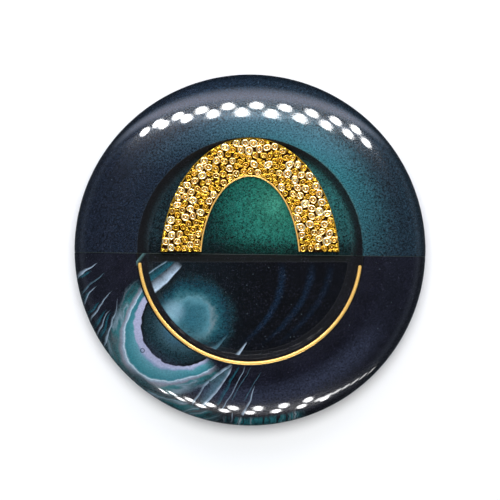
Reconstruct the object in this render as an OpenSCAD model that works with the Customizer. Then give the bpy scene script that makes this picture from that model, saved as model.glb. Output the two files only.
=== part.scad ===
// Round ink stick: a polished disc of two butted half-discs with a sunk round well.
// A beaded gold arch stands in the well's upper half and a gold wire edges its lower half.
// Frame: +Z up out of the decorated face, +Y towards the arch's crown,
// origin at the centre of the underside. Millimetres.

/* [Disc] */
// Diameter over the rounded rim
disc_d = 60; // [56:1:70]
// Thickness from the underside to the face
disc_t = 10; // [9:0.5:14]
// Radius at which the flat face turns into the shoulder
face_r = 21; // [20:0.5:23]
// Height of the rounded shoulder above the rim band
shoulder_h = 4.8; // [3.5:0.1:5.5]
// Radius of the flat underside
foot_r = 25; // [22:0.5:26]
// Height of the rounding below the rim band
foot_h = 3.6; // [2:0.1:3.8]

/* [Seam] */
// Distance of the seam below the disc's centre
seam_drop = 0.75; // [0.6:0.05:1]
// Turn of the seam, clockwise, against the line of the arch's feet
seam_turn = 0.7; // [0:0.1:0.8]
// Thickness of the glue film between the halves
seam_glue_t = 0.06; // [0.04:0.01:0.1]

/* [Well] */
// Radius of the well where it meets the face
well_r = 19.1; // [18.9:0.1:19.4]
// Depth of the well in the green half
green_depth = 1.8; // [1.6:0.1:2.4]
// Depth of the well in the banded half
banded_depth = 1.2; // [1:0.1:1.5]
// Width of the sloping wall in the green half, seen from above
green_wall = 1.35; // [1:0.05:1.6]
// Width of the sloping wall in the banded half, seen from above
banded_wall = 1.65; // [1.4:0.05:1.9]
// Distance of the banded half's well centre below the disc's centre
banded_well_drop = 0.4; // [0:0.1:0.6]

/* [Arch] */
// Half width of the arch's outer ellipse
arch_out_a = 15.15; // [14.5:0.05:15.5]
// Half height of the arch's outer ellipse
arch_out_h = 21.2; // [20.5:0.1:21.2]
// Half width of the arch's inner ellipse
arch_in_a = 8.3; // [8:0.1:9]
// Half height of the arch's inner ellipse
arch_in_h = 14.6; // [14:0.1:15]
// Distance of both ellipses' centre below the disc's centre
arch_drop = 2.15; // [2.1:0.05:2.6]
// Distance of the legs' feet below the disc's centre
arch_foot_drop = 0.3; // [0.1:0.05:0.4]
// Thickness of the arch's sheet
sheet_t = 0.6; // [0.4:0.1:0.8]
// Width of the plain wire along the sheet's inner edge
inner_wire_w = 0.26; // [0.15:0.01:0.3]
// Height of that wire above the sheet
inner_wire_h = 0.4; // [0.2:0.05:0.5]

/* [Beads] */
// Number of beads on the arch
bead_count = 178; // [120:2:200]
// Diameter of the largest bead
bead_d = 1.55; // [1.2:0.05:1.6]
// Diameter of the smallest bead
bead_min_d = 1.05; // [0.8:0.05:1.1]
// Times that the beads are shaken before they are soldered down
bead_rounds = 30; // [10:5:60]
// Least gap between two beads
bead_gap = 0.03; // [0.02:0.01:0.05]

/* [Gold arc] */
// Radius of the wire's centre line
arc_r = 18.75; // [18.7:0.05:18.8]
// Width of the wire
arc_w = 0.56; // [0.4:0.02:0.6]
// Depth of the wire's groove below the face
arc_groove = 0.6; // [0.55:0.05:0.8]
// Height of the wire above the face
arc_proud = 0.06; // [0:0.02:0.1]
// Angle below the horizontal at which each end of the wire stops
arc_end = 6; // [5:0.5:10]

/* [Hidden] */

disc_r = disc_d / 2;
seam_y = -seam_drop;
glue_t = 0.05;          // glue under the arch and under the wire
glue_inset = 0.15;      // how far glue stays back from an edge
arch_gap = 0.05;        // clearance of the arch in its pocket
green_floor = disc_t - green_depth;
banded_floor = disc_t - banded_depth;
sheet_z = green_floor + glue_t;
sheet_top = sheet_z + sheet_t;
bead_sink = 0.2;        // height of a bead's middle above the sheet, as a share of its radius
bead_margin = 0.1;      // share of the arch's width that stays free when the beads are dropped
big = 2 * disc_d;       // larger than the disc every way
arc_steps = 14;         // straight pieces in each rounded corner of the profile
arch_steps = 72;        // straight pieces in each edge of the arch
$fn = 180;

// Points along an ellipse, from one angle to another.
function ellipse_points(centre, a, b, from, to, steps) =
    [for (i = [0:steps]) let (t = from + (to - from) * i / steps)
        [centre[0] + a * cos(t), centre[1] + b * sin(t)]];

// Half section of the disc, drawn back from its outside by inset.
function disc_profile(inset) = concat(
    [[0, inset]],
    ellipse_points([foot_r, foot_h], disc_r - foot_r - inset, foot_h - inset, -90, 0, arc_steps),
    ellipse_points([face_r, disc_t - shoulder_h], disc_r - face_r - inset, shoulder_h - inset,
                   0, 90, arc_steps),
    [[0, disc_t - inset]]);

// One edge of the arch, from its right foot to its left, for an ellipse of that size.
function arch_edge(a, h, foot) =
    let (from = asin(foot / h)) ellipse_points([0, -arch_drop], a, h, from, 180 - from, arch_steps);

function reversed(list) = [for (i = [len(list) - 1:-1:0]) list[i]];

// Outline of the arch, drawn back from its edges by inset.
function arch_outline(inset) =
    let (foot = arch_drop - arch_foot_drop + inset)
    concat(arch_edge(arch_out_a - inset, arch_out_h - inset, foot),
           reversed(arch_edge(arch_in_a + inset, arch_in_h + inset, foot)));

module disc(inset = 0) {
    rotate_extrude() polygon(disc_profile(inset));
}

// A round well with a sloping wall, open at the face.
module well(depth, wall, drop) {
    over = 1;           // carries the slope on above the face
    translate([0, -drop, disc_t - depth])
        cylinder(h = depth + over, r1 = well_r - wall, r2 = well_r + wall * over / depth);
}

// Everything above the seam, or below it, leaving half the gap free.
module above_seam(gap) {
    rotate(-seam_turn) translate([-big / 2, seam_y + gap / 2, -big / 2]) cube([big, big, big]);
}

module below_seam(gap) {
    rotate(-seam_turn) translate([-big / 2, seam_y - gap / 2 - big, -big / 2])
        cube([big, big, big]);
}

// A ring round the banded half's well centre, cut to the wire's stretch.
module arc_sector(r_in, r_out, z, h) {
    reach = big / 2;
    rotate(-seam_turn) translate([0, -banded_well_drop, z]) intersection() {
        difference() {
            cylinder(h = h, r = r_out);
            translate([0, 0, -1]) cylinder(h = h + 2, r = r_in);
        }
        translate([0, 0, -1]) linear_extrude(h + 2)
            polygon([[0, 0], reach * [cos(arc_end), -sin(arc_end)], [reach, -reach], [-reach, -reach],
                     reach * [-cos(arc_end), -sin(arc_end)]]);
    }
}

module green_half() {
    color([0.03, 0.22, 0.2]) difference() {
        intersection() {
            disc();
            above_seam(seam_glue_t);
        }
        well(green_depth, green_wall, 0);
        translate([0, 0, green_floor]) linear_extrude(big) polygon(arch_outline(-arch_gap));
    }
}

module banded_half() {
    bevel = green_depth - banded_depth;   // the step up from the green floor is bevelled away
    color([0.05, 0.09, 0.12]) difference() {
        intersection() {
            disc();
            below_seam(seam_glue_t);
        }
        arc_sector(arc_r - arc_w / 2, arc_r + arc_w / 2, disc_t - arc_groove, big);
        rotate(-seam_turn) {
            well(banded_depth, banded_wall, banded_well_drop);
            intersection() {
                translate([0, seam_y - seam_glue_t / 2, banded_floor]) rotate([45, 0, 0])
                    cube([big, bevel * sqrt(2), bevel * sqrt(2)], center = true);
                well(banded_depth + bevel, banded_wall, banded_well_drop);
            }
        }
    }
}

module seam_glue() {
    color([0.3, 0.34, 0.3]) difference() {
        disc(seam_glue_t);
        above_seam(seam_glue_t);
        below_seam(seam_glue_t);
        well(green_depth + seam_glue_t, green_wall, 0);
    }
}

module arch_sheet() {
    color("gold") translate([0, 0, sheet_z]) linear_extrude(sheet_t)
        polygon(arch_outline(0));
}

module arch_inner_wire() {
    foot = arch_drop - arch_foot_drop;
    color("gold") translate([0, 0, sheet_top]) linear_extrude(inner_wire_h)
        polygon(concat(arch_edge(arch_in_a + inner_wire_w, arch_in_h + inner_wire_w, foot),
                       reversed(arch_edge(arch_in_a, arch_in_h, foot))));
}

// A fixed number from 0 to 1 that looks random, for bead i.
function scatter(i, salt) = let (v = sin(i * 127.1 + salt * 311.7) * 43758.5) v - floor(v);

// Radius of bead i before it is fitted among its neighbours.
function loose_radius(i) = (bead_min_d + (bead_d - bead_min_d) * scatter(i, 1)) / 2;

// Distance along the arch's middle line up to each of its points, paired with the angle there.
function middle_table(a, h) =
    let (from = asin((arch_drop - arch_foot_drop) / h), turn = 180 - 2 * from,
         p = ellipse_points([0, 0], a, h, from, from + turn, arch_steps))
    [for (i = 0, s = 0; i <= arch_steps; s = s + norm(p[min(i + 1, arch_steps)] - p[i]), i = i + 1)
        [s, from + turn * i / arch_steps]];

// Where bead i is dropped: evenly along the arch, and back and forth across it by the golden ratio.
function dropped(i, table) =
    let (golden = (sqrt(5) - 1) / 2, across = i * golden - floor(i * golden),
         share = bead_margin + (1 - 2 * bead_margin) * across,
         t = lookup(table[arch_steps][0] * (i + 0.5) / bead_count, table))
    [(arch_in_a + (arch_out_a - arch_in_a) * share) * cos(t),
     (arch_in_h + (arch_out_h - arch_in_h) * share) * sin(t) - arch_drop];

// The point nearest to p, or nearly, at which a bead of radius r stays on the bare sheet.
function kept_in(p, r) =
    let (q = p + [0, arch_drop],
         out = norm([q[0] / (arch_out_a - r), q[1] / (arch_out_h - r)]),
         inner = inner_wire_w + r,
         in = norm([q[0] / (arch_in_a + inner), q[1] / (arch_in_h + inner)]),
         k = out > 1 ? q / out : in < 1 ? q / in : q)
    [k[0], max(k[1] - arch_drop, r - arch_foot_drop)];

// How far the beads that bead i overlaps push it.
function push(points, radii, i) =
    let (p = points[i],
         pushes = [for (j = [0:bead_count - 1])
             let (apart = p - points[j], gap = norm(apart) - radii[i] - radii[j])
             if (j != i && gap < 0) -gap / 2 * apart / norm(apart)])
    pushes == [] ? [0, 0] : [for (v = pushes) 1] * pushes;   // their sum

// The beads' places after that many rounds of pushing one another apart.
function settled(points, radii, rounds) =
    rounds == 0 ? points :
    settled([for (i = [0:bead_count - 1])
                kept_in(points[i] + push(points, radii, i), radii[i])], radii, rounds - 1);

// The radius at which bead i clears every other bead.
function fitted_radius(points, radii, i) =
    min([for (j = [0:bead_count - 1])
        j == i ? radii[i] :
        norm(points[i] - points[j]) * radii[i] / (radii[i] + radii[j]) - bead_gap / 2]);

module arch_beads() {
    radii = [for (i = [0:bead_count - 1]) loose_radius(i)];
    table = middle_table((arch_in_a + arch_out_a) / 2, (arch_in_h + arch_out_h) / 2);
    points = settled([for (i = [0:bead_count - 1]) dropped(i, table)], radii, bead_rounds);
    color("gold") for (i = [0:bead_count - 1])
        translate([points[i][0], points[i][1], sheet_top])
            bead(fitted_radius(points, radii, i));
}

// A ball sunk in its solder and flat where it meets the sheet.
module bead(r) {
    rotate_extrude($fn = 32) intersection() {
        translate([0, bead_sink * r]) circle(r);
        square(2 * r);
    }
}

module arch_glue() {
    color([0.3, 0.34, 0.3]) translate([0, 0, green_floor]) linear_extrude(glue_t)
        polygon(arch_outline(glue_inset));
}

module gold_arc() {
    bottom = disc_t - arc_groove + glue_t;
    color("gold")
        arc_sector(arc_r - arc_w / 2, arc_r + arc_w / 2, bottom, disc_t + arc_proud - bottom);
}

module arc_glue() {
    color([0.3, 0.34, 0.3])
        arc_sector(arc_r - arc_w / 2, arc_r + arc_w / 2, disc_t - arc_groove, glue_t);
}

green_half();
banded_half();
seam_glue();
arch_sheet();
arch_inner_wire();
arch_beads();
arch_glue();
gold_arc();
arc_glue();
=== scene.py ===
"""Looks of the round two-part ink stick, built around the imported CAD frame.

The frame is in metres, +Z up out of the decorated face and +Y towards the arch's crown.
Meshes are built in millimetres and scaled down at the end, so every size below is in mm.
"""
import math
import random

import bmesh
import bpy
from mathutils import Matrix, Vector, noise


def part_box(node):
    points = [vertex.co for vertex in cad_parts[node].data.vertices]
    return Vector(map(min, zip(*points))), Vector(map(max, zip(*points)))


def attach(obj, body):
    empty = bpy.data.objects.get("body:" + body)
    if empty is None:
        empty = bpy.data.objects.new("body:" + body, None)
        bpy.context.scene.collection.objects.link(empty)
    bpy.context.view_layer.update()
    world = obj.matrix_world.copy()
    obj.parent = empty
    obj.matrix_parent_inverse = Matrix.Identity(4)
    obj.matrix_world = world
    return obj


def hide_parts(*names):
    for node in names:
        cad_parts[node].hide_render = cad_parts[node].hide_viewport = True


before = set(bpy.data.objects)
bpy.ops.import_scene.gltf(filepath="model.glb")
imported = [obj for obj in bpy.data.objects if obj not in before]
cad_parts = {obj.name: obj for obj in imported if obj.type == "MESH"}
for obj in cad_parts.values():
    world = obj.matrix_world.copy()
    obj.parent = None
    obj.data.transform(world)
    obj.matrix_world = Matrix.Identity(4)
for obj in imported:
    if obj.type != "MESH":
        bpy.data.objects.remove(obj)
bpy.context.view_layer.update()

MM = 0.001                     # metres in a millimetre


def mm_box(node):
    """The lowest and highest corner of a CAD node, in millimetres."""
    low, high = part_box(node)
    return low / MM, high / MM


# ---- Sizes that the frame gives ----
disc_high = mm_box("green_half")[1]
glue_low, glue_high = mm_box("seam_glue")
sheet_low, sheet_high = mm_box("arch_sheet")
arc_low, arc_high = mm_box("gold_arc")

DISC_R = disc_high.x
DISC_T = disc_high.z
SHEET_BOTTOM = sheet_low.z
SHEET_TOP = sheet_high.z
ARCH_FOOT = sheet_low.y        # where the legs end
WIRE_TOP = mm_box("arch_inner_wire")[1].z
ARC_TOP = arc_high.z
ARC_BOTTOM = arc_low.z

# ---- Sizes of the design that no box gives ----
GLUE_T = 0.06                  # film between the halves
SEAM_Y = (glue_low.y + glue_high.y) / 2
SEAM_TURN = -math.asin((glue_high.y - glue_low.y - GLUE_T) / (glue_high.x - glue_low.x))
FACE_R = 21                    # the flat face ends and the shoulder begins
SHOULDER_H = 4.8
FOOT_R = 25                    # the flat underside
FOOT_H = 3.6
WELL_R = 19.1                  # the well at the face
GREEN_DEPTH, GREEN_WALL = 1.8, 1.35
BANDED_DEPTH, BANDED_WALL = 1.2, 1.65
BANDED_DROP = 0.4              # the banded well's centre below the disc's
ARCH_DROP = 2.15               # the arch's ellipses have their centre this far below the disc's
ARCH_OUT_H = sheet_high.y + ARCH_DROP
ARCH_IN_H = 14.6
ARCH_OUT_A = 15.15
ARCH_IN_A = 8.3
INNER_WIRE_W = 0.26
ARC_R = 18.75                  # centre line of the gold wire
ARC_W = 0.56
ARC_END = math.radians(6)      # each end stops this far below the horizontal

# ---- Fine shape that only the looks need ----
LIP = 0.13                     # rounding of the well's edge
COVE = 1.3                     # rounding where the wall meets the floor
SEAM_EDGE = 0.05               # polished-off edge of each half along the seam
CUT_GAP = 0.05                 # clearance of the arch in the well's wall
FLOOR_SKIN = 0.002             # the arch's pocket stops this far above the well's floor
ARC_GLUE_T = 0.05              # glue under the gold wire

RIM_TOP = DISC_T - SHOULDER_H
GREEN_FLOOR = DISC_T - GREEN_DEPTH


# ---- Mesh helpers ----
def finished(name, mesh, slot, material, *replaced):
    """Turns a mesh in millimetres into a piece that rides on the disc and stands for CAD nodes."""
    mesh.transform(Matrix.Scale(MM, 4))
    mesh.name = name
    piece = bpy.data.objects.new(name, mesh)
    bpy.context.scene.collection.objects.link(piece)
    mesh.materials.clear()
    mesh.materials.append(material)
    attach(piece, "root")
    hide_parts(*replaced)


def mesh_from(bm, smooth_below=math.radians(35)):
    """A mesh from a bmesh, with outward normals and smooth shading up to an angle."""
    bmesh.ops.recalc_face_normals(bm, faces=bm.faces)
    mesh = bpy.data.meshes.new("part")
    bm.to_mesh(mesh)
    bm.free()
    mesh.shade_smooth()
    mesh.set_sharp_from_angle(angle=smooth_below)
    return mesh


def cut_away(mesh, cutter):
    """The mesh less the cutter, by an exact boolean."""
    body = bpy.data.objects.new("body", mesh)
    tool = bpy.data.objects.new("tool", cutter)
    for obj in (body, tool):
        bpy.context.scene.collection.objects.link(obj)
    step = body.modifiers.new("cut", "BOOLEAN")
    step.operation = "DIFFERENCE"
    step.solver = "EXACT"
    step.object = tool
    bpy.context.view_layer.update()
    seen = body.evaluated_get(bpy.context.evaluated_depsgraph_get())
    result = bpy.data.meshes.new_from_object(seen)
    for obj in (body, tool):
        bpy.data.objects.remove(obj)
    return result


def rounded_corner(before, corner, after, radius, steps=5):
    """Points of an arc that rounds the corner between two straight lines."""
    before, corner, after = Vector(before), Vector(corner), Vector(after)
    into = (before - corner).normalized()
    out = (after - corner).normalized()
    half = into.angle(out) / 2
    reach = radius / math.tan(half)
    centre = corner + (into + out).normalized() * radius / math.sin(half)
    first, last = corner + into * reach - centre, corner + out * reach - centre
    return [tuple(centre + radius * first.slerp(last, i / steps)) for i in range(steps + 1)]


def ellipse_arc(centre, a, b, start, end, steps):
    """Points along an ellipse, from one angle to another."""
    return [(centre[0] + a * math.cos(t), centre[1] + b * math.sin(t))
            for t in (start + (end - start) * i / steps for i in range(steps + 1))]


# ---- The two halves ----
def profile(depth, wall):
    """Half section of the disc as (radius, height), from the well's floor over the rim to the foot."""
    floor = (WELL_R - wall, DISC_T - depth)
    lip = (WELL_R, DISC_T)
    points = rounded_corner((0, floor[1]), floor, lip, COVE)
    points += rounded_corner(floor, lip, (FACE_R, DISC_T), LIP)
    points += ellipse_arc((FACE_R, RIM_TOP), DISC_R - FACE_R, SHOULDER_H, math.pi / 2, 0, 48)
    points += ellipse_arc((FOOT_R, FOOT_H), DISC_R - FOOT_R, FOOT_H, 0, -math.pi / 2, 28)
    return points


def profile_normals(points):
    """Outward direction at each point of a half section."""
    last = len(points) - 1
    result = []
    for i in range(len(points)):
        a, b = Vector(points[max(i - 1, 0)]), Vector(points[min(i + 1, last)])
        along = (b - a).normalized()
        result.append(Vector((-along.y, along.x)))
    return result


def half_mesh(side, depth, wall, drop, seam_depth, seam_wall, columns=220):
    """One half of the disc. side is 1 above the seam and -1 below it.

    v is the distance from the half's seam face. Next to the seam the well has seam_depth and
    seam_wall, so that the shallower half slopes down to meet the deeper one.
    """
    edge_y = SEAM_Y + side * GLUE_T / 2
    slope = max(seam_depth - depth, 0.6)
    plain, at_seam = profile(depth, wall), profile(seam_depth, seam_wall)
    normals = profile_normals(at_seam)
    rings = []
    bm = bmesh.new()

    def place(x, v, z):
        spot = Matrix.Rotation(SEAM_TURN, 2) @ Vector((x, edge_y + side * v))
        return bm.verts.new((spot.x, spot.y, z))

    for i, (r, z) in enumerate(plain):
        well_share = min(max((FACE_R - r) / (FACE_R - WELL_R), 0), 1)
        middle = side * (-drop * well_share - edge_y)
        seam_r, seam_z = at_seam[i]
        sunk_r, sunk_z = Vector((seam_r, seam_z)) - normals[i] * SEAM_EDGE
        start = math.asin((slope - middle) / r)
        ends = [(math.sqrt(sunk_r ** 2 - middle ** 2), 0, sunk_z),
                (math.sqrt(seam_r ** 2 - (SEAM_EDGE - middle) ** 2), SEAM_EDGE, seam_z)]
        ring = [place(*end) for end in ends]
        for k in range(columns + 1):
            t = start + (math.pi - 2 * start) * k / columns
            ring.append(place(r * math.cos(t), middle + r * math.sin(t), z))
        ring += [place(-x, v, z) for x, v, z in reversed(ends)]
        rings.append(ring)

    for inner, outer in zip(rings, rings[1:]):
        for k in range(len(inner) - 1):
            bm.faces.new((inner[k], inner[k + 1], outer[k + 1], outer[k]))
    for ring in (rings[0], rings[-1]):
        bm.faces.new((ring[0], ring[1], ring[-2], ring[-1]))
        bm.faces.new((ring[1], ring[2], ring[-3], ring[-2]))
        bm.faces.new(ring[2:-2])
    bm.faces.new([ring[0] for ring in rings] + [ring[-1] for ring in reversed(rings)])
    return mesh_from(bm)


def prism(outline, bottom, top):
    """An upright prism on a plan outline."""
    bm = bmesh.new()
    lower = [bm.verts.new((x, y, bottom)) for x, y in outline]
    upper = [bm.verts.new((x, y, top)) for x, y in outline]
    for i in range(len(outline)):
        j = (i + 1) % len(outline)
        bm.faces.new((lower[i], lower[j], upper[j], upper[i]))
    bm.faces.new(lower)
    bm.faces.new(upper)
    return mesh_from(bm)


def arch_edge(a, h, foot, steps=160):
    """One edge of the arch in plan, from its right foot to its left."""
    start = math.asin((foot + ARCH_DROP) / h)
    return ellipse_arc((0, -ARCH_DROP), a, h, start, math.pi - start, steps)


def arch_outline(grow):
    """The arch in plan, grown by so much all round."""
    foot = ARCH_FOOT - grow
    return (arch_edge(ARCH_OUT_A + grow, ARCH_OUT_H + grow, foot)
            + arch_edge(ARCH_IN_A - grow, ARCH_IN_H - grow, foot)[::-1])


def arc_point(radius, t):
    """A point at that radius and angle about the banded well's centre, in the seam's turn."""
    spot = Vector((radius * math.cos(t), radius * math.sin(t) - BANDED_DROP))
    return Matrix.Rotation(SEAM_TURN, 2) @ spot


def groove_outline(steps=220):
    """The gold wire's groove in plan."""
    start, end = -ARC_END, -math.pi + ARC_END
    sweep = [start + (end - start) * i / steps for i in range(steps + 1)]
    outer = [tuple(arc_point(ARC_R + ARC_W / 2, t)) for t in sweep]
    inner = [tuple(arc_point(ARC_R - ARC_W / 2, t)) for t in reversed(sweep)]
    return outer + inner


def make_halves(green, banded):
    """The two polished halves, cut for the arch and for the gold wire."""
    above = DISC_T + 1
    upper = half_mesh(1, GREEN_DEPTH, GREEN_WALL, 0, GREEN_DEPTH, GREEN_WALL)
    upper = cut_away(upper, prism(arch_outline(CUT_GAP), GREEN_FLOOR + FLOOR_SKIN, above))
    finished("green_half_polished", upper, "green_body", green, "green_half")
    lower = half_mesh(-1, BANDED_DEPTH, BANDED_WALL, BANDED_DROP, GREEN_DEPTH, GREEN_WALL)
    lower = cut_away(lower, prism(groove_outline(), ARC_BOTTOM - ARC_GLUE_T, above))
    finished("banded_half_polished", lower, "banded_body", banded, "banded_half")


# ---- The arch ----
def cad_beads():
    """Plan position and radius of every bead of the CAD model, in millimetres."""
    bm = bmesh.new()
    bm.from_mesh(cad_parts["arch_beads"].data)
    bmesh.ops.remove_doubles(bm, verts=bm.verts, dist=MM / 1000)
    beads, seen = [], set()
    for vert in bm.verts:
        if vert in seen:
            continue
        island, queue = [], [vert]
        seen.add(vert)
        while queue:
            here = queue.pop()
            island.append(here.co / MM)
            for edge in here.link_edges:
                other = edge.other_vert(here)
                if other not in seen:
                    seen.add(other)
                    queue.append(other)
        low_x, high_x = min(p.x for p in island), max(p.x for p in island)
        low_y, high_y = min(p.y for p in island), max(p.y for p in island)
        beads.append(((low_x + high_x) / 2, (low_y + high_y) / 2, (high_x - low_x) / 2))
    bm.free()
    return sorted(beads)


BEAD_SINK = 0.2                # height of a bead's middle above the sheet, in radii
BEAD_SWELL = 1.16              # granules melt into their neighbours this much
FILLER_TRIES = 9000
EDGE_LIP = 0.025               # share of the arch's width that its plain outer edge takes
LIP_HEIGHT = 0.5               # height of the granulation above the sheet, at least, in that edge
FIELD_HEIGHT = 0.16            # and in the gaps between the granules


class Near:
    """Finds the granules round a point of the plan."""

    def __init__(self, granules, cell=1.8):
        self.cell = cell
        self.cells = {}
        for granule in granules:
            self.add(granule)

    def add(self, granule):
        key = (int(granule[0] // self.cell), int(granule[1] // self.cell))
        self.cells.setdefault(key, []).append(granule)

    def round(self, x, y):
        i, j = int(x // self.cell), int(y // self.cell)
        return [granule for a in (i - 1, i, i + 1) for b in (j - 1, j, j + 1)
                for granule in self.cells.get((a, b), ())]


def on_arch(x, y):
    """True where a point of the plan lies on the arch's sheet."""
    if y < ARCH_FOOT:
        return False
    outer = math.hypot(x / ARCH_OUT_A, (y + ARCH_DROP) / ARCH_OUT_H)
    inner = math.hypot(x / (ARCH_IN_A + INNER_WIRE_W), (y + ARCH_DROP) / (ARCH_IN_H + INNER_WIRE_W))
    return outer < 1 < inner


def all_granules():
    """The CAD's beads, uneven as if laid by hand, and small ones dropped in the gaps between."""
    rng = random.Random(7)
    granules = []
    for x, y, r in cad_beads():
        granules.append((x, y, r * BEAD_SWELL, rng.uniform(0, math.pi), rng.uniform(0, 0.28),
                         rng.uniform(0.6, 1.0)))
    near = Near(granules)
    for _ in range(FILLER_TRIES):
        x = rng.uniform(-ARCH_OUT_A, ARCH_OUT_A)
        y = rng.uniform(ARCH_FOOT, ARCH_OUT_H - ARCH_DROP)
        if not on_arch(x, y):
            continue
        gap = min((math.hypot(x - g[0], y - g[1]) - g[2] for g in near.round(x, y)), default=0.4)
        if gap > 0.1:
            filler = (x, y, min(gap + 0.16, 0.46), rng.uniform(0, math.pi),
                      rng.uniform(0, 0.4), rng.uniform(0, 0.6))
            near.add(filler)
    return near


def granule_height(granule, x, y):
    """Height of one granule over a point: a dome with a pressed ring round a small middle."""
    gx, gy, r, way, stretch, dimple = granule
    dx, dy = x - gx, y - gy
    along = dx * math.cos(way) + dy * math.sin(way)
    across = dy * math.cos(way) - dx * math.sin(way)
    t2 = (along * along * (1 - stretch) + across * across * (1 + stretch)) / (r * r)
    if t2 >= 1:
        return 0
    dome = BEAD_SINK + 0.82 * math.sqrt(1 - t2 * t2)
    groove = math.exp(-((math.sqrt(t2) - 0.38) / 0.15) ** 2)
    return r * (dome - 0.55 * dimple * groove) + max(0.6 - r, 0) * 0.5


def granules_mesh(along=880, across=108):
    """The granulated field as one closed solid, cut straight at the arch's outline."""
    near = all_granules()
    outer = arch_edge(ARCH_OUT_A, ARCH_OUT_H, ARCH_FOOT, along)
    inner = arch_edge(ARCH_IN_A + INNER_WIRE_W, ARCH_IN_H + INNER_WIRE_W, ARCH_FOOT, along)
    bm = bmesh.new()
    rows = []
    for o, n in zip(outer, inner):
        row = []
        for k in range(across + 1):
            s = k / across
            x, y = o[0] + (n[0] - o[0]) * s, o[1] + (n[1] - o[1]) * s
            wobble = noise.noise(Vector((x, y, 3)) * 1.1)
            wx, wy = x + 0.1 * wobble, y + 0.1 * noise.noise(Vector((x, y, 9)) * 1.1)
            high = max((granule_height(g, wx, wy) for g in near.round(x, y)), default=0)
            floor = LIP_HEIGHT if s < EDGE_LIP else FIELD_HEIGHT
            row.append(bm.verts.new((x, y, SHEET_TOP + max(high, floor))))
        rows.append(row)
    for a, b in zip(rows, rows[1:]):
        for k in range(across):
            bm.faces.new((a[k], a[k + 1], b[k + 1], b[k]))
    border = ([row[0] for row in rows] + rows[-1][1:]
              + [row[-1] for row in reversed(rows[:-1])] + rows[0][1:-1][::-1])
    under = [bm.verts.new((v.co.x, v.co.y, SHEET_TOP)) for v in border]
    for i in range(len(border)):
        j = (i + 1) % len(border)
        bm.faces.new((border[i], border[j], under[j], under[i]))
    bm.faces.new(under)
    return mesh_from(bm, math.radians(60))


def sheet_mesh():
    """The arch's sheet, with its lower and upper edges a little softened."""
    bm = bmesh.new()
    soft = 0.06
    rows = []
    for z, grow in ((SHEET_BOTTOM, 0), (SHEET_TOP - soft, 0), (SHEET_TOP - soft * 0.3, -soft * 0.3),
                    (SHEET_TOP, -soft)):
        rows.append([bm.verts.new((x, y, z)) for x, y in arch_outline(grow)])
    for a, b in zip(rows, rows[1:]):
        for i in range(len(a)):
            j = (i + 1) % len(a)
            bm.faces.new((a[i], a[j], b[j], b[i]))
    bm.faces.new(rows[0])
    bm.faces.new(rows[-1])
    return mesh_from(bm, math.radians(50))


def swept_mesh(path, section):
    """A solid swept along (point, sideways direction, width) steps, its section in (side, z)."""
    bm = bmesh.new()
    rows = []
    for at, side, scale in path:
        rows.append([bm.verts.new((at.x + side.x * s * scale, at.y + side.y * s * scale, z))
                     for s, z in section])
    count = len(section)
    for a, b in zip(rows, rows[1:]):
        for k in range(count):
            j = (k + 1) % count
            bm.faces.new((a[k], a[j], b[j], b[k]))
    bm.faces.new(rows[0])
    bm.faces.new(rows[-1])
    return mesh_from(bm)


def end_scale(distance, radius):
    """How wide a swept wire is near its end, so that the end is round in plan."""
    if distance >= radius:
        return 1.0
    return max(math.sqrt(max(1 - (1 - distance / radius) ** 2, 0)), 0.08)


def inner_wire_mesh():
    """The plain wire along the arch's inner edge, round on top."""
    steps = 260
    half = INNER_WIRE_W / 2
    edge = arch_edge(ARCH_IN_A + half, ARCH_IN_H + half, ARCH_FOOT + 0.02, steps)
    section = [(-half, SHEET_TOP)]
    section += ellipse_arc((0, WIRE_TOP - half), half, half, math.pi, 0, 10)
    section += [(half, SHEET_TOP)]
    path = []
    for i, (x, y) in enumerate(edge):
        a, b = edge[max(i - 1, 0)], edge[min(i + 1, steps)]
        along = Vector((b[0] - a[0], b[1] - a[1])).normalized()
        path.append((Vector((x, y)), Vector((along.y, -along.x)), 1.0))
    return swept_mesh(path, section)


def gold_arc_mesh():
    """The wire in the well's edge: a crowned strip whose width and line wander a little."""
    steps = 360
    half = ARC_W / 2
    crown = 0.14
    section = [(-half, ARC_BOTTOM)]
    section += ellipse_arc((0, ARC_TOP - crown), half, crown, math.pi, 0, 12)
    section += [(half, ARC_BOTTOM)]
    start, end = -ARC_END, -math.pi + ARC_END
    path = []
    for i in range(steps + 1):
        t = start + (end - start) * i / steps
        to_end = min(i, steps - i) / steps * ARC_R * (math.pi - 2 * ARC_END)
        at = arc_point(ARC_R, t)
        out = (arc_point(ARC_R + 1, t) - at).normalized()
        path.append((at, out, end_scale(to_end + 0.01, half)))
    return swept_mesh(path, section)


def make_gold(gold, wire_gold):
    """The arch's sheet, granules and edging, and the wire in the well's edge."""
    finished("arch_sheet_edge", sheet_mesh(), "gold", wire_gold, "arch_sheet")
    finished("arch_granules", granules_mesh(), "gold", gold, "arch_beads")
    finished("arch_edging", inner_wire_mesh(), "gold", wire_gold, "arch_inner_wire")
    finished("gold_arc_wire", gold_arc_mesh(), "gold", wire_gold, "gold_arc")


# ---- Materials ----
class Value:
    """A number or vector on the surface: an output socket with the usual arithmetic."""

    def __init__(self, shade, socket):
        self.shade, self.socket = shade, socket

    def __add__(self, other):
        return self.shade.math("ADD", self, other)

    def __radd__(self, other):
        return self.shade.math("ADD", other, self)

    def __sub__(self, other):
        return self.shade.math("SUBTRACT", self, other)

    def __rsub__(self, other):
        return self.shade.math("SUBTRACT", other, self)

    def __mul__(self, other):
        return self.shade.math("MULTIPLY", self, other)

    def __truediv__(self, other):
        return self.shade.math("DIVIDE", self, other)

    def root(self):
        return self.shade.math("SQRT", self)

    def size(self):
        return self.shade.math("ABSOLUTE", self)


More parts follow.
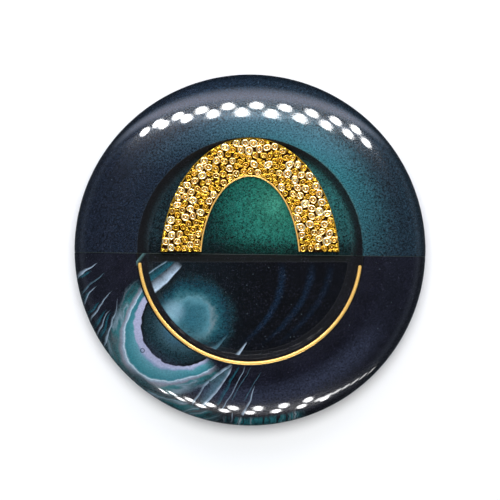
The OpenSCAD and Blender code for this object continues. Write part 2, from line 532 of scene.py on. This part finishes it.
class Shade:
    """Builds one material's nodes. Lengths on the surface are in millimetres."""

    def __init__(self, name, world=False):
        kind = bpy.data.worlds if world else bpy.data.materials
        self.owner = kind.new(name)
        self.owner.use_nodes = True
        self.tree = self.owner.node_tree
        self.tree.nodes.clear()
        place = self.node("TexCoord").outputs["Generated" if world else "Object"]
        scaled = self.node("VectorMath", {0: place, 3: 1 if world else 1 / MM},
                           operation="SCALE")
        self.at = Value(self, scaled.outputs[0])
        parts = self.node("SeparateXYZ", {0: self.at})
        self.x, self.y, self.z = (Value(self, out) for out in parts.outputs)

    def node(self, kind, inputs=None, **settings):
        """Adds a node, with its settings and what its input sockets take."""
        made = self.tree.nodes.new("ShaderNode" + kind)
        for key, value in settings.items():
            setattr(made, key, value)
        for key, value in (inputs or {}).items():
            self.feed(made.inputs[key], value)
        return made

    def feed(self, socket, value):
        """Links a value to a socket, or sets the socket where it is a plain number or colour."""
        if isinstance(value, Value):
            value = value.socket
        if isinstance(value, bpy.types.NodeSocket):
            self.tree.links.new(value, socket)
        elif socket.type == "RGBA" and len(value) == 3:
            socket.default_value = (*value, 1)
        else:
            socket.default_value = value

    def math(self, operation, *values):
        made = self.node("Math", dict(enumerate(values)), operation=operation)
        return Value(self, made.outputs[0])

    def vector(self, x, y, z=0.0):
        return Value(self, self.node("CombineXYZ", {0: x, 1: y, 2: z}).outputs[0])

    def smooth(self, value, low, high):
        """0 below low and 1 above high, or the other way round, with a soft passage."""
        if low > high:
            return 1 - self.smooth(value, high, low)
        made = self.node("MapRange", {"Value": value, "From Min": low, "From Max": high},
                         interpolation_type="SMOOTHSTEP")
        return Value(self, made.outputs["Result"])

    def bump_at(self, value, centre, width):
        """1 at the centre, falling softly to 0 at that distance either side."""
        return self.smooth((value - centre).size(), width, 0)

    def noise(self, at, scale, detail=2.0, roughness=0.5):
        made = self.node("TexNoise", {"Vector": at, "Scale": scale, "Detail": detail,
                                      "Roughness": roughness})
        return Value(self, made.outputs["Fac"])

    def cells(self, at, scale):
        """Distance to the nearest of scattered points."""
        made = self.node("TexVoronoi", {"Vector": at, "Scale": scale})
        return Value(self, made.outputs["Distance"])

    def clamped(self, value):
        made = self.node("Clamp", {"Value": value})
        return Value(self, made.outputs[0])

    def fall(self, value, near, far):
        """1 up to near, falling evenly to 0 at far."""
        return self.clamped((far - value) / (far - near))

    def away(self, x, y):
        """Distance in plan from a point."""
        return self.ellipse(x, y, 1, 1)

    def ellipse(self, x, y, a, b):
        """1 on an ellipse in plan, less inside it."""
        u, v = (self.x - x) / a, (self.y - y) / b
        return (u * u + v * v).root()

    def vein(self, start, end, thin, thick, bend):
        """A curved stroke, sharp on the left of its way and soft on the right, in millimetres."""
        ax, ay = start
        dx, dy = end[0] - ax, end[1] - ay
        length = math.hypot(dx, dy)
        px, py = self.x - ax, self.y - ay
        t = (px * dx + py * dy) / (length * length)
        off = (px * dy - py * dx) / length - t * (1 - t) * 4 * bend
        width = thin + self.clamped(t) * (thick - thin)
        across = off / width
        inside = self.smooth(across, 1.6, -0.9) * self.smooth(across, -1.2, -0.85)
        return inside * self.smooth(t, -0.03, 0.2) * self.smooth(t, 1.06, 0.98)

    def scaled(self, colour, factor):
        made = self.node("VectorMath", {0: colour, 3: factor}, operation="SCALE")
        return Value(self, made.outputs[0])

    def ramp(self, value, stops):
        """Colour from a list of (position, colour)."""
        made = self.node("ValToRGB", {"Fac": value})
        elements = made.color_ramp.elements
        while len(elements) < len(stops):
            elements.new(1.0)
        for element, (position, colour) in zip(elements, stops):
            element.position = position
            element.color = (*colour, 1)
        return Value(self, made.outputs["Color"])

    def mix(self, share, a, b):
        """Colour a where the share is 0 and b where it is 1."""
        made = self.node("Mix", {"Factor": share}, data_type="RGBA")
        self.feed(made.inputs[6], a)
        self.feed(made.inputs[7], b)
        return Value(self, made.outputs[2])

    def finish(self, **inputs):
        """Feeds the surface shader, ends the tree and returns the material."""
        shader = self.node("BsdfPrincipled")
        for key, value in inputs.items():
            self.feed(shader.inputs[key.replace("_", " ")], value)
        self.node("OutputMaterial", {"Surface": shader.outputs[0]})
        return self.owner

    def finish_world(self, colour, level):
        shader = self.node("Background", {"Color": colour, "Strength": level})
        self.node("OutputWorld", {"Surface": shader.outputs[0]})
        bpy.context.scene.world = self.owner


def srgb(r, g, b):
    """Linear colour from an 8-bit display colour."""
    return tuple(c / 12.92 if c <= 0.04045 else ((c + 0.055) / 1.055) ** 2.4
                 for c in (r / 255, g / 255, b / 255))


STONE_TONE = 0.84              # darkens the stone's colours to what the lights brighten


def polished(s, colour, grain, wall):
    """Stone polished bright over a faintly hazy body, but matt where wall is 1."""
    scratch = s.noise(s.vector(s.x * 0.9 + s.y * 0.7, (s.y * 0.9 - s.x * 0.7) * 9), 1.3, 3, 0.6)
    relief = s.node("Bump", {"Height": grain * 0.6 + scratch * 0.4, "Distance": 0.000005,
                             "Strength": 0.5})
    return s.finish(Base_Color=colour, Roughness=0.24 + scratch * 0.06 + wall * 0.6, IOR=1.5,
                    Specular_IOR_Level=0.16, Coat_Weight=1 - wall * 0.97, Coat_Roughness=0.02,
                    Coat_IOR=1.6, Coat_Normal=relief.outputs[0])


def speckled(s, colour, grain, strength, calm):
    """Breaks a colour up into cloudy grains with bright specks; calm weakens them where pale."""
    fine = s.noise(s.at, 5.2, 1, 0.5) - 0.5
    bright = Value(s, s.node("RGBToBW", {"Color": colour}).outputs[0])
    strength = (1 - s.smooth(bright, 0.02, 0.16) * calm) * strength
    colour = s.scaled(colour, (1 + (grain - 0.5) * strength + fine * strength * 0.5) * STONE_TONE)
    fleck = s.noise(s.at, 3.4, 4, 0.95)
    patch = s.smooth(s.noise(s.at, 0.6, 2), 0.35, 0.65)
    colour = s.mix(s.smooth(fleck, 0.54, 0.75) * (patch * 0.2 + 0.12), colour,
                   srgb(124, 122, 152))
    specks = s.smooth(s.cells(s.at, 1.1), 0.13, 0.02) * s.smooth(s.noise(s.at, 0.9, 1), 0.5, 0.62)
    return s.mix(specks * 0.22, colour, srgb(150, 175, 185))


def green_material():
    """Dark teal stone, navy to the rim, with a painted glow at the upper right and in the arch."""
    s = Shade("green_polished")

    # The face.
    grain = s.noise(s.at, 3.0, 3, 0.8)
    cloud = s.noise(s.at, 0.35, 3, 0.55)
    r = (s.x * s.x + s.y * s.y).root() + (cloud - 0.5) * 0.05
    navy = s.ramp(s.x / 60 + 0.5 + (cloud - 0.5) * 0.3, [
        (0.1, srgb(22, 29, 42)), (0.35, srgb(27, 42, 58)), (0.9, srgb(27, 44, 55))])
    # glow: a painted glow of light through the stone, strongest at the upper right.
    glow = s.fall(s.away(12.5, 14.5), 3, 21) * s.smooth(r, 26.5, 18.8)
    face = s.mix(glow * (0.62 + cloud * 0.5), navy, srgb(50, 122, 132))
    # A painted haze of the back lamps' light, just inside their rows.
    painted_lamp_haze = s.bump_at(r, 21.4, 4.0) * s.smooth(s.y, 12, 19) * (s.smooth(s.x, -14, -1) * 0.7 + 0.3)
    face = s.mix(painted_lamp_haze * 0.42, face, srgb(88, 136, 156))
    # Painted shade, darkening the face towards the rim.
    face = s.scaled(face, s.smooth(r, 30.2, 28.4) * 0.7 + 0.3)

    # The well's floor, wall and lip: painted shade on the wall, a painted highlight on the lip.
    right = s.smooth(s.x, 6, 13) * s.smooth(s.y, -1, 9)
    floor = s.mix(s.smooth(s.x, -15, 16), srgb(20, 38, 44), srgb(24, 62, 64))
    floor = s.mix(right, floor, srgb(33, 88, 88))
    # Inside the arch the floor has a painted glow, brightest right of its middle.
    arch = s.ramp(s.away(4.2, 7.6) / 20 + (cloud - 0.5) * 0.12, [
        (0.0, srgb(60, 142, 120)), (0.14, srgb(34, 108, 92)), (0.3, srgb(26, 102, 90)),
        (0.44, srgb(12, 73, 65)), (0.6, srgb(8, 43, 43))])
    inside = s.smooth(s.ellipse(0, -ARCH_DROP, ARCH_IN_A, ARCH_IN_H), 1.1, 1.0)
    floor = s.mix(inside, floor, arch)
    floor = s.scaled(floor, 0.3 + s.smooth(s.y, -0.6, 2.8) * 0.7)
    # The wall is painted dark as shade, less dark on the right.
    wall = s.mix(right, srgb(8, 11, 16), srgb(16, 36, 40))
    colour = s.mix(s.smooth(r, WELL_R - GREEN_WALL - 0.7, WELL_R - 0.5), floor, wall)
    lip = s.bump_at(r, WELL_R + 0.06, 0.2)
    colour = s.mix(s.smooth(r, WELL_R - 0.12, WELL_R + 0.02), colour, face)
    # A painted highlight along the lip, stronger on the right.
    colour = s.mix(lip * (right * 0.3 + 0.03), colour, srgb(88, 108, 98))
    cut = (s.smooth(r, WELL_R - GREEN_WALL - 0.7, WELL_R - GREEN_WALL)
           * s.smooth(r, WELL_R + 0.06, WELL_R - 0.02))
    return polished(s, speckled(s, colour, grain, 6.0, 0.4), grain, cut)


EYE_AT = (-11.5, -12.7)        # middle of the agate's eye
EYE_EDGE = 6.85                # its thin black outline
EYE_WAY = math.radians(222)    # its bands are widest this way
GLOW_AT = (-9.9, -11.6)        # middle of the paler eye seen in the well's floor

# Veins on the face: start, end, half widths at start and end, bend, whiteness.
RIM_VEINS = (
    ((-27.0, -3.5), (-30.2, -4.7), 0.15, 0.55, -0.2, 0.0),
    ((-25.8, -2.3), (-30.2, -5.6), 0.05, 0.38, 0.45, 1.0),
    ((-24.2, -3.8), (-29.4, -8.1), 0.05, 0.25, 0.3, 0.2),
    ((-26.9, -7.0), (-29.4, -9.6), 0.2, 0.6, 0.2, 0.0),
    ((-25.9, -6.0), (-29.0, -10.6), 0.05, 0.24, 0.35, 0.75),
    ((-25.3, -8.6), (-28.5, -11.7), 0.1, 0.45, 0.0, 0.0),
    ((-23.2, -6.7), (-28.0, -13.1), 0.05, 0.22, 0.1, 0.7),
    ((-24.3, -10.0), (-27.7, -14.6), 0.1, 0.6, 0.0, 0.0),
    ((-23.8, -10.1), (-26.6, -16.2), 0.05, 0.26, 0.1, 0.65),
    ((-23.6, -10.4), (-26.4, -17.0), 0.1, 0.45, -0.15, 0.0),
    ((-22.4, -8.2), (-25.4, -17.2), 0.05, 0.2, -0.35, 0.75),
)
FOOT_VEINS = (
    ((-3.4, -19.6), (-8.0, -25.8), 0.35, 0.85, 0.1, 0.15),
    ((-2.7, -19.1), (-9.6, -25.9), 0.22, 0.18, 0.6, 0.7),
    ((-3.0, -19.6), (-8.0, -26.4), 0.16, 0.2, -0.3, 0.95),
    ((-1.6, -19.4), (-5.6, -26.0), 0.12, 0.35, 0.1, 0.0),
    ((-0.7, -19.6), (-4.8, -27.0), 0.05, 0.12, -0.15, 0.7),
    ((0.2, -19.7), (-3.0, -25.4), 0.05, 0.1, 0.0, 0.1),
    ((1.8, -20.6), (-1.0, -25.6), 0.05, 0.1, 0.0, 0.1),
    ((0.9, -22.9), (-1.2, -28.0), 0.05, 0.2, -0.1, 0.9),
    ((-2.9, -27.5), (-3.5, -30.2), 0.08, 0.22, 0.1, 0.8),
)
FLOOR_VEINS = (
    ((-12.8, -1.2), (-17.6, -5.0), 0.6, 0.75, -0.1, 0.0),
    ((-13.2, -1.0), (-17.5, -4.1), 0.12, 0.12, -0.1, 0.45),
    ((-11.9, -2.2), (-17.4, -7.1), 0.6, 0.95, -0.2, 0.85),
    ((-11.6, -2.6), (-17.0, -7.5), 0.1, 0.22, -0.25, 1.0),
    ((-3.8, -14.3), (-7.4, -17.6), 0.05, 0.6, -0.1, 0.1),
    ((-0.4, -15.5), (-2.5, -18.1), 0.06, 0.32, -0.05, 0.85),
)


def veined(s, colour, veins, strength, sway):
    """Lays tapering veins over a colour: teal where their whiteness is 0, lavender-white at 1."""
    x, y = s.x, s.y
    s.x = x + (s.noise(s.vector(x, y, 11), 0.42, 1, 0.4) - 0.5) * sway
    s.y = y + (s.noise(s.vector(x, y, 23), 0.42, 1, 0.4) - 0.5) * sway
    fade = (s.smooth(s.noise(s.vector(x, y, 31), 0.8, 2, 0.6), 0.2, 0.55) * 0.6 + 0.4) * strength
    for start, end, thin, thick, bend, white in veins:
        tint = [low + (high - low) * white
                for low, high in zip(srgb(20, 84, 98), srgb(186, 208, 228))]
        colour = s.mix(s.vein(start, end, thin, thick, bend) * fade, colour, tint)
    s.x, s.y = x, y
    return colour


def banded_material():
    """Near-black agate with a banded eye at the lower left and pale veins out to the rim.

    turn is the cosine of the angle from the way in which the eye's bands are widest, and reach
    the distance past its outline in steps that widen that way.
    """
    s = Shade("banded_polished")
    drop = s.smooth(s.z, RIM_TOP, 0) * 2.2
    s.x, s.y = s.x + drop * 0.6, s.y + drop * 0.8
    grain = s.noise(s.at, 3.0, 3, 0.8)
    cloud = s.noise(s.at, 0.35, 3, 0.55)
    ripple = s.noise(s.vector(s.x, s.y), 0.55, 2, 0.5) - 0.5
    r = (s.x * s.x + (s.y + BANDED_DROP) * (s.y + BANDED_DROP)).root()
    left = s.smooth(s.x, 4, -16)

    # The face: navy-black, then the eye's rings and the swirl beyond them.
    face = s.ramp(cloud, [(0.3, srgb(15, 16, 25)), (0.7, srgb(23, 24, 36))])
    out = s.away(*EYE_AT)
    turn = ((s.x - EYE_AT[0]) * math.cos(EYE_WAY) + (s.y - EYE_AT[1]) * math.sin(EYE_WAY)) / out
    lobe = s.clamped((turn - 0.45) / 0.55)
    lobe = lobe * lobe
    out = out + ripple * 0.9
    reach = (out - EYE_EDGE) / (0.74 + lobe * 0.78)
    rings = s.ramp(reach / 8, [
        (0.0, srgb(6, 8, 12)), (0.012, srgb(6, 8, 12)), (0.03, srgb(196, 206, 230)),
        (0.08, srgb(166, 178, 206)), (0.115, srgb(134, 158, 188)), (0.14, srgb(92, 154, 166)),
        (0.21, srgb(72, 142, 153)), (0.3, srgb(50, 124, 136)), (0.32, srgb(96, 150, 162)),
        (0.335, srgb(200, 220, 236)), (0.355, srgb(150, 172, 190)), (0.385, srgb(136, 142, 158)),
        (0.42, srgb(118, 126, 136)), (0.45, srgb(64, 122, 127)), (0.5, srgb(44, 106, 110)),
        (0.56, srgb(60, 84, 86)), (0.62, srgb(30, 84, 90)), (0.7, srgb(22, 62, 68)),
        (0.78, srgb(20, 28, 38))])
    deep = s.bump_at(reach, 1.8, 1.0) * s.smooth(s.y, -13, -7)
    rings = s.mix(deep * 0.7, rings, srgb(14, 84, 104))
    side = s.clamped((EYE_AT[0] - s.x) / out)
    beyond = out - EYE_EDGE
    band = s.smooth(beyond - side, 0.5, 0.18) * s.smooth(beyond, 0, 0.2)
    rings = s.mix(band, rings, srgb(172, 176, 206))
    flow = s.noise(s.vector(out * 0.75, turn * 1.6, 5), 1.0, 1, 0.4)
    stream = s.ramp(flow, [
        (0.3, srgb(22, 58, 64)), (0.4, srgb(34, 110, 116)), (0.46, srgb(84, 112, 118)),
        (0.5, srgb(148, 170, 186)), (0.54, srgb(44, 114, 120)), (0.62, srgb(92, 92, 98)),
        (0.7, srgb(20, 64, 70))])
    skirt = s.smooth(r, 27.4, 28.2) * s.smooth(s.x, -4, -8) * s.smooth(s.y, -19, -22)
    rings = s.mix(s.smooth(reach, 3.1, 3.9) * 0.6, rings, stream)
    seen = s.smooth(turn, -0.02, 0.28) * s.smooth(reach, 6.3, 4.4)
    face = s.mix(seen * s.smooth(reach, -0.06, 0.0), face, rings)
    face = s.mix(skirt * 0.85, face, stream)

    # Inside the eye's outline, then the veins and two specks.
    heart = s.ramp(out / 8, [
        (0.35, srgb(56, 94, 112)), (0.5, srgb(46, 76, 86)), (0.62, srgb(26, 52, 60)),
        (0.8, srgb(22, 38, 44)), (0.84, srgb(10, 16, 20))])
    heart = s.scaled(heart, 0.7 + cloud * 0.6)
    face = s.mix(s.smooth(reach, 0.05, -0.02) * s.smooth(turn, -0.2, 0.1), face, heart)
    face = veined(s, face, RIM_VEINS, s.smooth(out, 10.8, 11.8) * 0.9, 1.0)
    face = veined(s, face, FOOT_VEINS, 0.85, 0.9)
    speck = s.bump_at(s.away(-18.2, -17.0), 0.33, 0.16) + s.smooth(s.away(-6.8, -22.3), 0.25, 0.1)
    face = s.mix(s.clamped(speck) * 0.8, face, srgb(10, 26, 34))

    # Upright bars at the foot of the rim, a painted lamp haze, and painted shade on the rim.
    bars = s.ramp(s.noise(s.vector(s.x + ripple * 1.5, 0, 7), 1.4, 2, 0.7), [
        (0.4, srgb(14, 24, 32)), (0.48, srgb(26, 104, 112)), (0.56, srgb(34, 116, 124)),
        (0.59, srgb(172, 198, 208)), (0.63, srgb(16, 26, 34))])
    at_foot = s.smooth(r, 27.8, 28.6) * s.smooth(s.x, -5, -3) * s.smooth(s.x, 10, 6)
    at_foot = at_foot * s.smooth(s.z, 1.5, RIM_TOP) * (s.smooth(cloud, 0.3, 0.55) * 0.4 + 0.6)
    # A painted haze of the front lamps' light, inside their rows.
    painted_front_lamp_haze = s.bump_at(r, 24.6, 3.2) * s.smooth(s.y, -10, -19)
    face = s.mix(painted_front_lamp_haze * 0.13, face, srgb(104, 116, 150))
    # Painted shade darkening the rim, weaker where the eye's rings and the skirt reach it.
    face = s.scaled(face, 1 - s.smooth(r, 28.0, 30.2) * (1 - s.clamped(seen + skirt) * 0.75) * 0.85)
    face = s.mix(at_foot * s.smooth(s.y, -20, -24), face, bars)

    # The well's floor: darker, with stripes at the upper left and a paler eye.
    floor = s.ramp(cloud, [(0.3, srgb(2, 4, 8)), (0.7, srgb(6, 9, 16))])
    floor = s.mix(left * 0.6, floor, srgb(14, 30, 36))
    for near, dip, level in ((5.5, -4.0, 0.5), (10.5, -2.5, 0.4), (13.7, -2.0, 0.22)):
        bow = s.x + (s.y - dip) * (s.y - dip) * 0.046 - near + ripple * 0.5
        line = s.bump_at(bow, 0, 1.0) * s.smooth(s.y, -17, -12) * s.smooth(s.y, -1.5, -5)
        floor = s.mix(line * level * 0.45, floor, srgb(30, 66, 100))
    haze = s.noise(s.vector(s.x, s.y, 3), 0.8, 3, 0.6) - 0.5
    ring = s.away(*GLOW_AT) + ripple * 1.2 + haze * 2.2
    pale = s.ramp(ring / 10, [
        (0.0, srgb(40, 96, 112)), (0.2, srgb(50, 106, 120)), (0.3, srgb(78, 134, 148)),
        (0.36, srgb(88, 138, 150)), (0.4, srgb(60, 112, 122)), (0.48, srgb(24, 78, 90)),
        (0.6, srgb(14, 50, 62)), (0.72, srgb(18, 42, 48)), (0.85, srgb(10, 16, 22))])
    pale = s.mix(s.smooth(s.x, -8, -5) * s.bump_at(ring, 3.6, 0.8) * 0.6, pale, srgb(128, 120, 122))
    pale = s.mix(s.smooth(s.away(-13.0, -10.4), 2.6, 0.4) * 0.55, pale, srgb(150, 190, 210))
    lit = s.smooth(ring, 8.5, 6.5) * s.smooth(s.y + s.x * 0.35, -20.5, -15.5)
    floor = s.mix(lit, floor, pale)
    stripes = s.smooth(s.away(-20.5, -0.2), 9.8, 8.8)
    floor = s.mix(stripes * 0.7, floor, srgb(16, 24, 28))
    floor = veined(s, floor, FLOOR_VEINS, 1.0, 0.4)

    # The well's wall, and the strip that slopes down to the green floor.
    edge = WELL_R - BANDED_WALL
    wall = s.mix(s.vein((-19.8, -3.2), (-17.6, -0.2), 0.3, 0.25, 0.0), srgb(7, 8, 12),
                 srgb(84, 120, 120))
    colour = s.mix(s.smooth(r, edge - 0.1, edge + 0.12), floor, wall)
    colour = s.mix(s.smooth(r, ARC_R + 0.48, ARC_R + 0.6), colour, face)
    cut = s.smooth(r, edge - 0.9, edge - 0.5) * s.smooth(r, WELL_R + 0.06, WELL_R - 0.02)
    foot = s.smooth(s.y, -2.2, -1.75) * s.smooth(r, edge, edge - 0.4)
    colour = s.mix(foot, colour, srgb(1, 6, 6))
    return polished(s, speckled(s, colour, grain, 3.4, 0.75), grain, s.clamped(cut + foot))


def gold_material(name, low, high, metal, rough, shade_below_height=0.0):
    """Yellow gold, with painted shade below shade_below_height and a painted highlight on top."""
    s = Shade(name)
    wear = s.noise(s.at, 4.0, 4, 0.6)
    colour = s.ramp(wear, [(0.3, low), (0.7, high)])
    if shade_below_height:
        # Painted highlight on the highest tops, and painted shade, dark, in the hollows below that
        # height above the sheet, between and within the granules.
        painted_top_highlight, painted_crevice_shade = (1.0, 0.91, 0.58), (0.05, 0.018, 0.003)
        height = s.z - SHEET_TOP + (wear - 0.5) * 0.06
        colour = s.mix(s.smooth(height, 0.55, 0.68), colour, painted_top_highlight)
        colour = s.mix(s.smooth(height, shade_below_height, shade_below_height * 0.5), colour, painted_crevice_shade)
    return s.finish(Base_Color=colour, Metallic=metal, Roughness=wear * 0.12 + rough)


def glue_material():
    """Dark set glue, for the three films carried over from the CAD."""
    s = Shade("set_glue")
    grain = s.noise(s.at, 9.0, 3, 0.6)
    colour = s.ramp(grain, [(0.3, srgb(34, 44, 42)), (0.7, srgb(54, 66, 60))])
    return s.finish(Base_Color=colour, Roughness=0.45)


# ---- Stage ----
EYE = Vector((0, 0, 420))      # the camera, above the middle of the disc
DISC_SHARE = 0.7008            # the disc's share of the picture's width
OUTLINE_Z = FOOT_H + 1         # height at which the disc is widest
LAMP_AWAY = 350                # how far the lamps hang from the disc
SOFT_AWAY = 3000               # how far the soft light hangs
STAGE_REACH = 1200             # half width of the floor
STAGE_SIDES = 96               # sides of the round backdrop


def make_floor():
    """A pale floor that shows in no reflection."""
    bm = bmesh.new()
    reach = STAGE_REACH
    for corner in ((-reach, -reach), (reach, -reach), (reach, reach), (-reach, reach)):
        bm.verts.new((*corner, 0))
    bm.faces.new(bm.verts)
    mesh = mesh_from(bm)
    mesh.transform(Matrix.Scale(MM, 4))
    s = Shade("studio_floor")
    soft = s.noise(s.at, 0.02, 2)
    mesh.materials.append(s.finish(
        Base_Color=s.ramp(soft, [(0.3, (0.88, 0.88, 0.88)), (0.7, (0.9, 0.9, 0.9))]),
        Roughness=0.9))
    floor = bpy.data.objects.new("studio_floor", mesh)
    bpy.context.scene.collection.objects.link(floor)
    floor.visible_glossy = False


def make_backdrop():
    """A pale round wall behind the floor's edge, seen only by the camera."""
    bm = bmesh.new()
    loops = []
    for height in (0, 300, 1500):
        turns = (math.tau * i / STAGE_SIDES for i in range(STAGE_SIDES))
        loops.append([bm.verts.new((STAGE_REACH * math.cos(a), STAGE_REACH * math.sin(a), height))
                      for a in turns])
    for low, high in zip(loops, loops[1:]):
        for i in range(STAGE_SIDES):
            j = (i + 1) % STAGE_SIDES
            bm.faces.new((low[i], high[i], high[j], low[j]))
    mesh = mesh_from(bm)
    mesh.transform(Matrix.Scale(MM, 4))
    s = Shade("studio_backdrop")
    soft = s.noise(s.at, 0.004, 2)
    tone = s.ramp(s.z / 600 + (soft - 0.5) * 0.1, [(0.0, (0.8, 0.81, 0.84)),
                                                  (0.6, (0.92, 0.93, 0.95))])
    mesh.materials.append(s.finish(Base_Color=(0, 0, 0), Roughness=1.0, Specular_IOR_Level=0.0,
                                   Emission_Color=tone, Emission_Strength=1.0))
    wall = bpy.data.objects.new("studio_backdrop", mesh)
    wall.visible_diffuse = False
    wall.visible_glossy = False
    wall.visible_shadow = False
    bpy.context.scene.collection.objects.link(wall)


def make_camera():
    """Looks straight down, with the disc as large in the picture as in the photo."""
    picture_width = DISC_R * 2 / DISC_SHARE
    data = bpy.data.cameras.new("camera")
    data.sensor_width = 36
    data.lens = data.sensor_width * (EYE.z - OUTLINE_Z) / picture_width
    data.clip_start = 0.01
    camera = bpy.data.objects.new("camera", data)
    camera.location = EYE * MM
    bpy.context.scene.collection.objects.link(camera)
    bpy.context.scene.camera = camera


def mirrored(radius, turn):
    """A point of the shoulder, and where it sends the camera's line of sight.

    turn is measured from +Y towards +X.
    """
    u = (radius - FACE_R) / (DISC_R - FACE_R)
    rise = math.sqrt(1 - u * u)
    slope = SHOULDER_H / (DISC_R - FACE_R) * u / rise
    way = Vector((math.sin(turn), math.cos(turn), 0))
    point = way * radius + Vector((0, 0, RIM_TOP + SHOULDER_H * rise))
    normal = (way * slope + Vector((0, 0, 1))).normalized()
    return point, (point - EYE).normalized().reflect(normal)


def lamp_place(radius, turn):
    """Where a lamp hangs to show on the shoulder at that radius and turn."""
    point, way = mirrored(radius, turn)
    return point + way * LAMP_AWAY


def lamp(name, radius, turn, wide, tall, radiance):
    """A small lamp that hangs where the polished shoulder shows it at that spot and size."""
    at = lamp_place(radius, turn)
    half_turn = wide / 2 / radius
    across = lamp_place(radius, turn + half_turn) - lamp_place(radius, turn - half_turn)
    along = lamp_place(radius + tall / 2, turn) - lamp_place(radius - tall / 2, turn)
    out = (at - mirrored(radius, turn)[0]).normalized()
    side = (across - out * across.dot(out)).normalized()
    data = bpy.data.lights.new(name, "AREA")
    data.shape = "ELLIPSE"
    data.size = across.length * MM
    data.size_y = along.length * MM
    data.energy = radiance * math.pi ** 2 / 4 * data.size * data.size_y
    light = bpy.data.objects.new(name, data)
    light.matrix_world = Matrix.LocRotScale(
        at * MM, Matrix((side, out.cross(side), out)).transposed(), None)
    light.visible_camera = False
    light.visible_diffuse = False
    bpy.context.scene.collection.objects.link(light)


def soft_box(name, way, wide, radiance):
    """A round soft light that lights the stone and the floor but shows in no reflection."""
    data = bpy.data.lights.new(name, "AREA")
    data.shape = "DISK"
    data.size = wide * MM
    data.energy = radiance * math.pi ** 2 / 4 * data.size ** 2
    light = bpy.data.objects.new(name, data)
    light.location = Vector(way).normalized() * SOFT_AWAY * MM
    light.rotation_mode = "QUATERNION"
    light.rotation_quaternion = Vector(way).to_track_quat("Z", "Y")
    light.visible_camera = False
    light.visible_glossy = False
    bpy.context.scene.collection.objects.link(light)


def lamp_row(name, count, middle, pitch, near, bend, lean, size, shrink, radiance, skip=0):
    """A straight row of lamps: evenly spaced in plan, so closer together in angle at its ends.

    middle is the row's turn in degrees and near where its middle lamp shows on the shoulder.
    bend is how fast the row nears the rim, lean how much more it does so where the turn is
    larger, and skip leaves out its first lamps.
    """
    for i in range(skip, count):
        step = i - (count - 1) / 2
        aside = math.atan(step * pitch)
        degrees = math.degrees(aside)
        radius = near + bend * degrees ** 2 + lean * degrees
        tall = size[1] * (1 - shrink * degrees ** 2)
        lamp(f"{name}_{i}", radius, math.radians(middle) + aside, size[0], tall, radiance)


def lamp_streak(name, count, start, end, near, rise, tall, radiance):
    """Thin lamps end to end: one curved streak that thins and fades as it nears the rim.

    start and end are its turns in degrees.
    """
    sweep = math.radians(end) - math.radians(start)
    for i in range(count):
        share = (i + 0.5) / count
        radius = near + rise * (0.3 * share + 0.7 * share ** 2)
        wide = abs(sweep) / count * radius * 1.1
        fade = 1 - 0.65 * share
        lamp(f"{name}_{i}", radius, math.radians(start) + sweep * share, wide, tall * fade,
             radiance * fade)


def make_lights():
    """Two double rows of small lamps, a thin streak and a soft key light."""
    lamp_row("back_outer", 9, middle=2.6, pitch=0.2, near=24.5, bend=0.0016, lean=0.0085,
             size=(2.1, 1.25), shrink=0.00012, radiance=30)
    lamp_row("back_inner", 10, middle=2.8, pitch=0.218, near=23.3, bend=0.0018, lean=0,
             size=(2.0, 1.6), shrink=0.0002, radiance=30)
    lamp_row("front_outer", 10, middle=175.4, pitch=0.162, near=27.65, bend=0.0007, lean=-0.012,
             size=(1.7, 0.65), shrink=0.0005, radiance=25, skip=2)
    lamp_row("front_inner", 10, middle=172.4, pitch=0.162, near=26.95, bend=0.0009, lean=-0.012,
             size=(1.65, 0.85), shrink=0.0005, radiance=25, skip=3)
    lamp_streak("front_streak", 7, start=157, end=133, near=27.9, rise=1.4, tall=0.42,
                radiance=14)
    soft_box("key", way=(0, 0.16, 1), wide=2000, radiance=9.6)


def make_tent():
    """The dim surroundings, with a bright haze past the back rows of lamps."""
    s = Shade("tent", world=True)
    up = s.z
    open_top = s.smooth(up, 0.94, 0.985)
    wall = s.bump_at(up, 0.1, 0.35)
    flat = (s.x * s.x + s.y * s.y).root()
    tilt = s.math("ARCCOSINE", up) * (180 / math.pi)
    past_row = tilt - 25 - (1 - s.y / flat) * 138      # degrees past the back rows of lamps
    back = (s.smooth(past_row, 2, 18) * s.smooth(past_row, 46, 20)
            * s.smooth(s.y / flat, 0.55, 0.85))
    sides = (s.x / flat).size() * 0.85 + 0.15
    veil = s.bump_at(past_row, -9, 10) * s.smooth(s.y / flat, 0.5, 0.9)
    level = (0.07 - open_top * 0.055) * sides + wall * sides * 0.15 + back * 2.5 + veil * 1.5
    tint = s.mix(back, (0.78, 0.95, 1.18), (0.9, 0.9, 1.1))
    s.finish_world(tint, level)


make_camera()
make_halves(green_material(), banded_material())
make_gold(gold_material("gold_granules", (0.60, 0.33, 0.02), (0.84, 0.52, 0.05),
                        metal=0.7, rough=0.1, shade_below_height=0.49),
          gold_material("gold_wire", (0.95, 0.5, 0.1), (1.0, 0.66, 0.2), metal=0.38, rough=0.24))
glue = glue_material()
for node in ("seam_glue", "arch_glue", "arc_glue"):
    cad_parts[node].data.materials.clear()
    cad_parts[node].data.materials.append(glue)
make_floor()
make_backdrop()
make_lights()
make_tent()
bpy.context.scene.view_settings.view_transform = "Standard"
